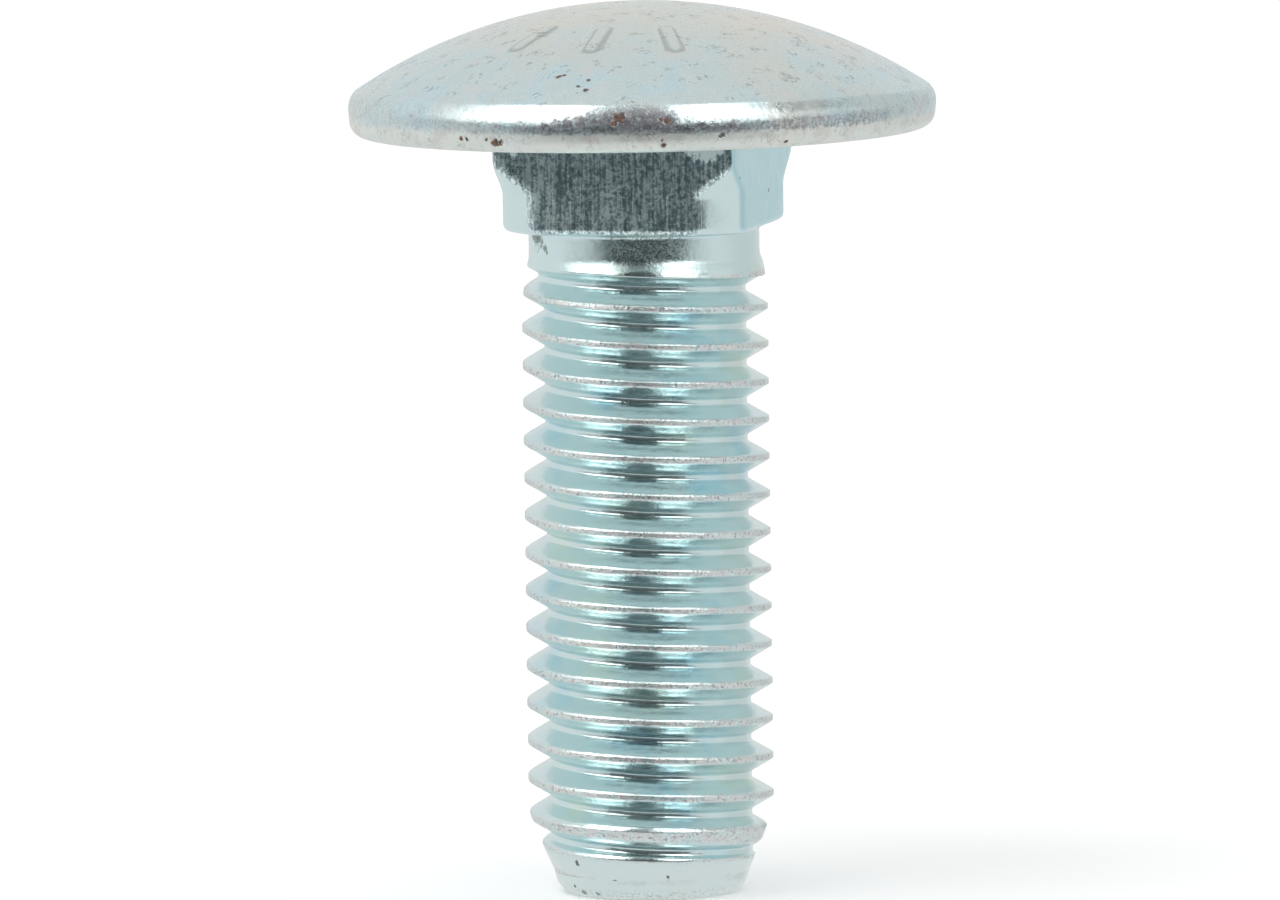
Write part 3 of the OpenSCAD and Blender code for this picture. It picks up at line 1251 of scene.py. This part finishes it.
    def painted_reflection_belt(self, bolt: "Ground") -> Socket:
        """Mask of a painted dark reflection: a band with wavy edges along the front of the rim.

        Args:
            bolt: The shared places, marks and noises.

        Returns:
            The mask's socket.
        """
        nodes = bolt.nodes
        wavy_z = nodes.sum("MULTIPLY_ADD", bolt.ragged, 0.5, nodes.sum("SUBTRACT", bolt.height_z, 0.25))
        return nodes.product(
            nodes.band(wavy_z, *self.painted_belt_foot_z),
            nodes.band(wavy_z, *self.painted_belt_top_z, 1.0, 0.0),
            nodes.band(bolt.depth_y, -8.5, -5.0, 1.0, 0.0),
            nodes.band(bolt.side_x, -6.5, -3.5, 0.35, 0.8),
            nodes.band(bolt.speckle, 0.4, 0.6, 0.2, 0.8),
        )

    def stained(self, bolt: "Ground", colour: Socket) -> Socket:
        """Lays the scratches, stains and rust over the plate, dark grey patches, a painted dark reflection on
        the front of the rim and painted shade round the raised bars.

        Args:
            bolt: The shared places, marks and noises.
            colour: Colour of the plate.

        Returns:
            The colour's socket.
        """
        nodes, place, rim = bolt.nodes, bolt.place, bolt.rim
        stain = nodes.sum("MULTIPLY_ADD", bolt.skirt, -0.2, nodes.product(rim, 0.35))
        tarnish = nodes.band(nodes.noise(place, 1.4, 3.0, 0.6), 0.5, 0.66)
        curls = Squiggles().use(nodes, place, 3.2, 0.035)
        faint = nodes.band(nodes.noise(place, 1.7, 2.0), 0.48, 0.58, 0.0, 0.45)
        greyed = bolt.masks(self.grey_spots)
        bar = nodes.mark(Mark.BAR)
        # Darker towards the flat end, in specks.
        foot = nodes.band(bolt.height_z, 0.55, 0.1)
        return nodes.layers(
            colour,
            (self.dark, bolt.scratches, 0.5),
            (self.dark, bolt.mottle, stain),
            (self.tarnish, tarnish, rim, 0.3),
            (self.dark_grey, curls, faint, rim),
            (self.dark_grey, greyed, nodes.band(bolt.speckle, 0.35, 0.6, 0.75, 0.92)),
            # Dark violet over the rim's spots (partly real stain, partly painted dark reflection) and over
            # its front band (painted dark reflection).
            (self.stain_and_dark_reflection, nodes.sum("MAXIMUM", bolt.stain_and_dark_reflection, self.painted_reflection_belt(bolt))),
            # Painted shade round the raised bars' edges, so that they show.
            (self.outline, nodes.band(bar, 0.05, 0.3), nodes.band(bar, 0.5, 0.85, 0.6, 0.0)),
            # Specks of dark grey, darker towards the flat end.
            (self.dark_grey, foot, nodes.band(bolt.speckle, 0.45, 0.65, 0.0, 0.45)),
            (nodes.mix(bolt.smoky, self.core, self.rust), bolt.rust, 0.9),
            (self.dark, bolt.pits, 0.9),
        )

    def relief(self, bolt: "Ground") -> Socket:
        """Normal of the bump, whose height in millimetres is the sum of the reliefs times their sizes.

        Args:
            bolt: The shared places, marks and noises.

        Returns:
            The normal's socket.
        """
        nodes, place = bolt.nodes, bolt.place
        rings = nodes.noise(nodes.stretch(place, (0.12, 0.12, 1.0)), 9.0, 2.0, 0.5)
        height = nodes.total(
            nodes.product(nodes.noise(place, 3.5, 4.0, 0.6), 0.014),
            (0.02, nodes.sum("MULTIPLY_ADD", bolt.scuffs, 0.6, bolt.lines), bolt.drawn_and_shaded),
            (0.01, bolt.grain, bolt.shank),
            (0.006, rings, bolt.thread),
            (0.035, bolt.speckle, bolt.crest),
            (-0.005, bolt.mottle, bolt.rim),
            (-0.008, bolt.scratches),
            (-0.015, nodes.sum("MAXIMUM", bolt.rust, bolt.pits)),
        )
        bump = nodes.add("ShaderNodeBump")
        bump.inputs["Strength"].default_value = 1.0
        bump.inputs["Distance"].default_value = MM
        nodes.feed(height, bump.inputs["Height"])
        return bump.outputs[0]

    def roughness(self, bolt: "Ground") -> Socket:
        """Roughness of the metal, with what each kind of surface adds to it.

        Args:
            bolt: The shared places, marks and noises.

        Returns:
            The roughness's socket.
        """
        return bolt.nodes.total(
            bolt.nodes.band(bolt.fine_cloud, 0.3, 0.7, 0.22, 0.32),
            (-0.06, bolt.below),
            (0.06, bolt.drawn_and_shaded),
            (0.03, bolt.rim),
            (0.15, bolt.skirt),
            (0.04, bolt.crest),
            (0.3, bolt.rust),
        )

    def material(self, seen: Seen) -> bpy.types.Material:
        """Builds the material.

        Args:
            seen: Finds the places on the bolt that the photograph's pixels show.

        Returns:
            The material, whose colour, roughness and bump come from object coordinates and the mesh's marks.
        """
        material = bpy.data.materials.new(self.name)
        material.use_nodes = True
        nodes = Nodes(material.node_tree)
        bolt = Ground(nodes, self, seen)
        # Little metal on the pale spots, so they show pale: a painted highlight.
        plated = nodes.band(bolt.plain, 0.0, 1.0, 1.0, 0.1)
        # Less metal where the dark violet spots lie, so they stay dark: part of the painted dark reflection.
        bare = nodes.sum("SUBTRACT", plated, nodes.product(bolt.stain_and_dark_reflection, 0.8), clamp=True)
        shader = nodes.add("ShaderNodeBsdfPrincipled")
        nodes.feed(bare, shader.inputs["Metallic"])
        nodes.feed(self.stained(bolt, self.plating(bolt)), shader.inputs["Base Color"])
        nodes.feed(self.roughness(bolt), shader.inputs["Roughness"])
        nodes.feed(self.relief(bolt), shader.inputs["Normal"])
        output = nodes.add("ShaderNodeOutputMaterial")
        nodes.feed(shader.outputs[0], output.inputs[0])
        return material


class Ground:
    """Places, marks, noises, stains and painted marks that the finish's colour, roughness and bump share."""

    def __init__(self, nodes: Nodes, finish: ZincFinish, seen: Seen) -> None:
        """Adds the shared nodes.

        Args:
            nodes: The material's nodes.
            finish: The finish, which gives the spots.
            seen: Finds the places on the bolt that the photograph's pixels show.
        """
        self.nodes, self.seen = nodes, seen
        object_place = nodes.add("ShaderNodeTexCoord").outputs["Object"]
        place = self.place = nodes.stretch(object_place, (1.0 / MM, 1.0 / MM, 1.0 / MM))
        axes = nodes.add("ShaderNodeSeparateXYZ")
        nodes.feed(place, axes.inputs[0])
        self.side_x, self.depth_y, self.height_z = axes.outputs[:3]
        self.crest, self.thread = nodes.mark(Mark.CREST), nodes.mark(Mark.THREAD)
        self.rim, self.skirt = nodes.mark(Mark.RIM), nodes.mark(Mark.SKIRT)
        self.point, self.shank = nodes.mark(Mark.POINT), nodes.mark(Mark.SHANK)
        self.tinted = nodes.mark(Mark.TINTED)
        self.edge = nodes.noise(place, 6.0, 3.0, 0.7)
        self.fine_cloud = nodes.noise(place, 1.1, 4.0, 0.6)
        self.speckle = nodes.noise(place, 8.0, 3.0, 0.75)
        self.grain = nodes.noise(place, 13.0, 3.0, 0.75)
        self.ragged = nodes.noise(place, 4.0, 4.0, 0.75)
        self.lines = nodes.noise(nodes.stretch(place, (1.0, 1.0, 0.05)), 9.0, 3.0, 0.6)
        self.scuffs = nodes.noise(place, 5.0, 4.0, 0.7)
        self.mottle = nodes.band(self.scuffs, 0.5, 0.7)
        scuffed = nodes.sum("MULTIPLY_ADD", self.scuffs, 0.9, nodes.product(self.lines, 0.8))
        self.smoky = nodes.band(nodes.sum("MULTIPLY_ADD", self.speckle, 0.5, scuffed), 0.98, 1.22)
        # Mask of the pale spots: a painted highlight on the lip under the head.
        self.plain = self.masks(finish.pale_highlight_spots)
        # Mark of the neck's front and back flats, scuffed and painted dark (painted dark reflection and
        # shade), except on the pale spots.
        self.drawn_and_shaded = nodes.product(nodes.mark(Mark.DRAWN_AND_SHADED), nodes.sum("SUBTRACT", 1.0, self.plain))
        self.below = nodes.band(self.height_z, *finish.seat_z, 1.0, 0.0)
        covered = nodes.sum("MAXIMUM", self.below, self.rim)
        self.top = nodes.sum("SUBTRACT", 1.0, covered, clamp=True)
        self.rust, self.pits = self.masks(finish.rust_spots), self.masks(finish.dark_spots)
        streaks = nodes.band(self.ragged, 0.4, 0.56, 0.6, 1.0)
        # Mask of the rim's dark violet spots: partly a real stain, partly a painted dark reflection.
        self.stain_and_dark_reflection = nodes.product(self.masks(finish.stain_and_reflection_spots), self.rim, streaks)
        self.scratches = self.scratched()

    def masks(self, spots: tuple[Spot, ...]) -> Socket:
        """Largest mask of several spots.

        Args:
            spots: The spots.

        Returns:
            The mask's socket.
        """
        mask = spots[0].use(self.nodes, self.place, self.edge, self.seen)
        for spot in spots[1:]:
            mask = self.nodes.sum("MAXIMUM", mask, spot.use(self.nodes, self.place, self.edge, self.seen))
        return mask

    def scratched(self) -> Socket:
        """Mask of the dome's fine scratches and short marks, each gathered where a noise is high.

        Returns:
            The mask's socket.
        """
        nodes, place = self.nodes, self.place
        fine = Squiggles().use(nodes, place, 0.8, 0.022)
        fine = nodes.product(fine, nodes.band(nodes.noise(place, 0.8, 2.0), 0.5, 0.6))
        short = Squiggles().use(nodes, nodes.stretch(place, (1.0, 1.8, 1.0)), 2.3, 0.05)
        short = nodes.product(short, nodes.band(nodes.noise(place, 1.3, 2.0), 0.54, 0.62))
        return nodes.product(nodes.sum("MAXIMUM", fine, short), self.top)


@dataclass
class CarriageBolt:
    """The whole bolt, one forging, from its sheets to its finish."""

    columns: Columns = field(default_factory=Columns)
    head: Head = field(default_factory=Head)
    neck: Neck = field(default_factory=Neck)
    stem: Stem = field(default_factory=Stem)
    finish: ZincFinish = field(default_factory=ZincFinish)
    camera: PhotoCamera = field(default_factory=PhotoCamera)
    dents: tuple[Dent, ...] = (
        Dent((-4.25, -1.75, 26.35), 0.30, 0.30, (4.2, 1.8, 0.2)),
        Dent((-4.35, -1.60, 25.95), 0.18, 0.16, (4.2, 1.8, 0.2)),
        Dent((4.70, -1.00, 2.75), 0.35, 0.22, (-4.7, 1.0, -1.0)),
        Dent((4.90, -0.20, 2.45), 0.22, 0.15, (-4.9, 0.2, 1.0)),
        Dent((-2.85, -2.60, 1.15), 0.10, 0.10, (2.85, 2.6, 0.0)),
        Dent((-2.80, -2.45, 0.32), 0.17, 0.13, (2.8, 2.45, 0.0)),
        Dent((-0.90, -3.70, 0.45), 0.10, 0.06, (0.9, 3.7, 0.0)),
        Dent((1.60, -3.35, 0.85), 0.12, 0.07, (-1.6, 3.35, 0.0)),
    )

    def sheets(self) -> list[Sheet]:
        """The bolt's sheets from the flat end to the top of the dome.

        Returns:
            Sheets that meet at their edges.
        """
        side = self.neck.side(self.columns)
        shank = self.stem.shank(self.columns)
        rim = self.head.rim(self.columns)
        return [
            self.stem.foot(self.columns),
            self.stem.thread(self.columns),
            shank,
            bridge(shank.points[-1], side.points[0], 5),
            side,
            bridge(side.points[-1], rim.points[0], 8),
            rim,
            self.head.dome(self.columns, rim.points[-1]),
        ]

    def build(self) -> bpy.types.Object:
        """Returns:
            The object.
        """
        mesh = Skin(self.sheets(), list(self.dents)).mesh("carriage_bolt_skin")
        mesh.materials.append(self.finish.material(Seen(mesh, self.camera)))
        piece = bpy.data.objects.new("carriage_bolt_skin", mesh)
        bpy.context.scene.collection.objects.link(piece)
        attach(piece, "root")
        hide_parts("carriage_bolt")
        return piece


@dataclass(frozen=True)
class Card:
    """A curved card of even brightness, far outside the set, which only the metal's reflections show."""

    name: str
    first: float
    last: float
    low: float
    high: float
    brightness: float
    tint: tuple[float, float, float] = (1.0, 1.0, 1.0)
    distance: float = 6.0
    steps: int = 16

    def build(self) -> bpy.types.Object:
        """Makes the card.

        Formula: the card is a patch of a sphere. Its angles to the right run from the camera's
        direction, so a point stands at the distance times the cosine of its elevation, times the sine
        of that angle to the right and its cosine towards the camera, and at the distance times the sine
        of its elevation above the floor.

        Returns:
            The card's object.
        """
        row = self.steps + 1
        a = np.radians(np.linspace(self.first, self.last, row))[None, :]
        e = np.radians(np.linspace(self.low, self.high, row))[:, None]
        way = np.stack((np.sin(a) * np.cos(e), -np.cos(a) * np.cos(e), np.sin(e) + 0 * a), axis=-1)
        points = way * self.distance
        i, j = np.meshgrid(np.arange(self.steps), np.arange(self.steps), indexing="ij")
        corner = i * row + j
        quads = np.stack((corner, corner + 1, corner + row + 1, corner + row), axis=-1).reshape(-1, 4)
        mesh = bpy.data.meshes.new(self.name)
        mesh.from_pydata(points.reshape(-1, 3).tolist(), [], quads.tolist())
        card = bpy.data.objects.new(self.name, mesh)
        bpy.context.scene.collection.objects.link(card)
        material = bpy.data.materials.new(self.name)
        material.use_nodes = True
        material.cycles.emission_sampling = "NONE"
        nodes = Nodes(material.node_tree)
        light = nodes.add("ShaderNodeEmission")
        light.inputs["Color"].default_value = (*self.tint, 1.0)
        light.inputs["Strength"].default_value = self.brightness
        nodes.feed(light.outputs[0], nodes.add("ShaderNodeOutputMaterial").inputs[0])
        mesh.materials.append(material)
        card.visible_camera = False
        card.visible_diffuse = False
        card.visible_shadow = False
        return card


@dataclass
class Studio:
    """Pale floor, even light all round and the cards that the metal reflects. Its lengths are metres."""

    floor_size: float = 40.0
    floor_colour: float = 0.8
    floor_white: float = 1.32
    world_level: float = 0.92
    lamp_size: float = 0.7
    lamp_power: float = 2.0
    lamp_place: tuple[float, float, float] = (-0.5, -0.35, 1.2)
    lamp_target: tuple[float, float, float] = (0.0, 0.0, 0.02)
    warm: ClassVar[tuple[float, float, float]] = (1.0, 0.995, 0.975)
    cool: ClassVar[tuple[float, float, float]] = (0.85, 0.97, 1.0)
    cards: tuple[Card, ...] = (
        Card("low_dark_card", -52.0, 44.0, -22.0, 0.0, 0.135, cool, 5.9),
        Card("dark_card", -31.0, 17.0, 0.0, 42.0, 0.08, cool),
        Card("high_dark_card", -31.0, 17.0, 42.0, 70.0, 0.26),
        Card("top_dark_card", -72.0, 26.0, 70.0, 86.0, 0.2),
        Card("left_dark_band", -80.0, -31.0, 0.0, 12.0, 0.12),
        Card("right_dark_band", 17.0, 60.0, 0.0, 12.0, 0.12),
        Card("left_softbox", -78.0, -31.0, 12.0, 42.0, 2.8, warm),
        Card("left_high_softbox", -78.0, -29.0, 42.0, 62.0, 4.0, warm),
        Card("left_top_softbox", -110.0, -31.0, 62.0, 70.0, 2.4),
        Card("right_softbox", 17.0, 51.0, 12.0, 42.0, 2.8, warm),
        Card("right_high_softbox", 17.0, 58.0, 42.0, 62.0, 4.0, warm),
        Card("right_top_softbox", 17.0, 90.0, 62.0, 75.0, 2.6),
        Card("right_grey_card", 58.0, 95.0, 36.0, 62.0, 0.16),
        Card("right_wall", 95.0, 150.0, -20.0, 60.0, 0.7),
        Card("left_wall", -150.0, -80.0, -20.0, 45.0, 0.82),
    )

    def floor(self) -> bpy.types.Object:
        """Plain floor that shows white to the camera, with the bolt's shadow.

        The metal doesn't reflect the floor but the world and the cards below it, which are as white.

        Returns:
            The floor's object.
        """
        h = self.floor_size / 2
        mesh = bpy.data.meshes.new("floor")
        mesh.from_pydata([(-h, -h, 0.0), (h, -h, 0.0), (h, h, 0.0), (-h, h, 0.0)], [], [(0, 1, 2, 3)])
        floor = bpy.data.objects.new("floor", mesh)
        bpy.context.scene.collection.objects.link(floor)
        material = bpy.data.materials.new("floor")
        material.use_nodes = True
        nodes = Nodes(material.node_tree)
        path = nodes.add("ShaderNodeLightPath")
        seen = nodes.sum("MAXIMUM", path.outputs["Is Camera Ray"], path.outputs["Is Transmission Ray"])
        grey, white = (self.floor_colour,) * 3, (self.floor_white,) * 3
        shader = nodes.add("ShaderNodeBsdfDiffuse")
        nodes.feed(nodes.mix(seen, (*grey, 1.0), (*white, 1.0)), shader.inputs["Color"])
        nodes.feed(shader.outputs[0], nodes.add("ShaderNodeOutputMaterial").inputs[0])
        mesh.materials.append(material)
        floor.visible_glossy = False
        return floor

    def world(self) -> None:
        """Even light from all round, which the camera sees as white."""
        world = bpy.data.worlds.new("studio")
        bpy.context.scene.world = world
        world.use_nodes = True
        nodes = Nodes(world.node_tree)
        path = nodes.add("ShaderNodeLightPath")
        light = nodes.add("ShaderNodeBackground")
        seen = nodes.sum("MAXIMUM", path.outputs["Is Camera Ray"], path.outputs["Is Glossy Ray"])
        seen = nodes.sum("MAXIMUM", seen, path.outputs["Is Transmission Ray"])
        level = nodes.sum("MULTIPLY_ADD", seen, 1.0 - self.world_level, self.world_level)
        nodes.feed(level, light.inputs["Strength"])
        nodes.feed(light.outputs[0], nodes.add("ShaderNodeOutputWorld").inputs[0])

    def lamp(self) -> bpy.types.Object:
        """Large soft lamp above on the left.

        Returns:
            The lamp's object.
        """
        data = bpy.data.lights.new("key_lamp", "AREA")
        data.shape, data.size, data.energy = "SQUARE", self.lamp_size, self.lamp_power
        lamp = bpy.data.objects.new("key_lamp", data)
        lamp.location = self.lamp_place
        ahead = Vector(self.lamp_target) - lamp.location
        lamp.rotation_euler = ahead.to_track_quat("-Z", "Y").to_euler()
        bpy.context.scene.collection.objects.link(lamp)
        return lamp

    def build(self) -> None:
        """Makes the floor, the world, the lamp and the cards."""
        self.floor()
        self.world()
        self.lamp()
        for card in self.cards:
            card.build()


def main() -> None:
    """Builds the bolt, the studio and the camera in order."""
    logging.basicConfig(level=logging.INFO, format="%(message)s")
    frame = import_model()
    LOG.info("frame: %d CAD nodes", len(frame["nodes"]))
    scene = bpy.context.scene
    scene.view_settings.view_transform = "Standard"
    bolt = CarriageBolt().build()
    LOG.info("%s: %d vertices, %d faces", bolt.name, len(bolt.data.vertices), len(bolt.data.polygons))
    Studio().build()
    LOG.info("studio: floor, world, lamp and %d cards", len(Studio().cards))
    camera = PhotoCamera().build()
    LOG.info("%s: lens %.1f mm", camera.name, camera.data.lens)


if __name__ == "__main__":
    main()
